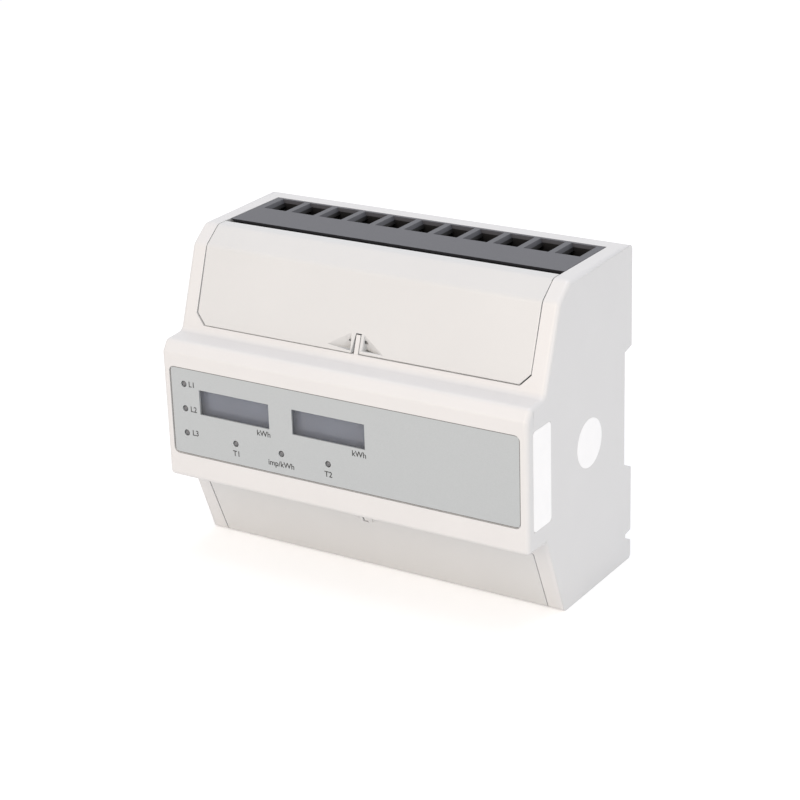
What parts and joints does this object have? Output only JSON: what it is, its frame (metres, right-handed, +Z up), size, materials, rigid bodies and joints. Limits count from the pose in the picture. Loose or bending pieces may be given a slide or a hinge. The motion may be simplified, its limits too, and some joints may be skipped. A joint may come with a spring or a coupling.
{
  "type": "smart electric meter",
  "caption": "Three-phase electricity meter that snaps onto a 35 mm rail, with stepped case, two display windows, hinged terminal covers and a sliding rail clip.",
  "frame": {"origin": "middle of the outline on the plane of the case's bottom", "axes": "+X along the width to the right of a reader, -Y is the way that the display faces, +Z up"},
  "size_m": [0.1261, 0.0631, 0.1],
  "materials": {
    "housing_plastic": "fine moulded texture",
    "cover_plastic": "fine moulded texture",
    "label_film": "silver-grey printed film",
    "clear_plastic": "clear moulded",
    "lcd_glass": "grey-blue liquid crystal",
    "white_plastic": "moulded",
    "zebra_rubber": "striped silicone",
    "led_resin": "smoked clear resin",
    "circuit_board": "solder mask",
    "plated_pin": "gold plated",
    "black_moulding": "moulded epoxy",
    "crystal_can": "pressed can",
    "capacitor_sleeve": "shrunk sleeve",
    "film_capacitor": "dipped epoxy",
    "varistor_coat": "dipped epoxy",
    "transformer_case": "moulded",
    "copper": "rolled copper",
    "terminal_plastic": "moulded",
    "clamp_brass": "machined",
    "zinc_screw": "zinc plated",
    "clip_plastic": "moulded",
    "spring_steel": "drawn wire",
    "sticker_paper": "bare sticker"
  },
  "bodies": {
    "meter": {"front_housing": "housing_plastic", "rear_housing": "housing_plastic", "front_label": "label_film", "lens_left": "clear_plastic", "lens_right": "clear_plastic", "lcd_glass_left": "lcd_glass", "lcd_glass_right": "lcd_glass", "lcd_frame_left": "white_plastic", "lcd_frame_right": "white_plastic", "zebra_strips": "zebra_rubber", "indicator_leds": "led_resin", "pulse_led": "led_resin", "display_board": "circuit_board", "main_board": "circuit_board", "link_pins": "plated_pin", "link_socket": "black_moulding", "metering_chip": "black_moulding", "crystal": "crystal_can", "supply_capacitors": "capacitor_sleeve", "dropper_capacitors": "film_capacitor", "varistors": "varistor_coat", "optocouplers": "black_moulding", "voltage_regulator": "black_moulding", "current_transformers": "transformer_case", "phase_bars": "copper", "neutral_bar": "copper", "voltage_taps": "copper", "upper_terminal_block": "terminal_plastic", "main_clamps": "clamp_brass", "main_clamp_screws": "zinc_screw", "lower_terminal_block": "terminal_plastic", "aux_clamps": "clamp_brass", "aux_clamp_screws": "zinc_screw", "clip_spring": "spring_steel", "housing_screws": "zinc_screw", "main_board_screws": "zinc_screw", "display_board_screws": "zinc_screw", "side_sticker": "sticker_paper", "round_sticker": "sticker_paper"},
    "upper_cover": {"upper_terminal_cover": "cover_plastic"},
    "lower_cover": {"lower_terminal_cover": "cover_plastic"},
    "clip": {"rail_clip": "clip_plastic"}
  },
  "joints": [
    {"name": "upper_cover_hinge", "type": "hinge", "parent": "meter", "child": "upper_cover", "pos_m": [0, -0.0047, 0.0978], "axis": [-1, 0, 0], "range_deg": [0, 110]},
    {"name": "lower_cover_hinge", "type": "hinge", "parent": "meter", "child": "lower_cover", "pos_m": [0, -0.0047, 0.0022], "axis": [1, 0, 0], "range_deg": [0, 110]},
    {"name": "clip_slide", "type": "slide", "parent": "meter", "child": "clip", "axis": [0, 0, -1], "range_m": [0, 0.004], "stiffness_N_per_m": 2000, "springref_m": -0.003, "deforming": ["clip_spring"]}
  ]
}
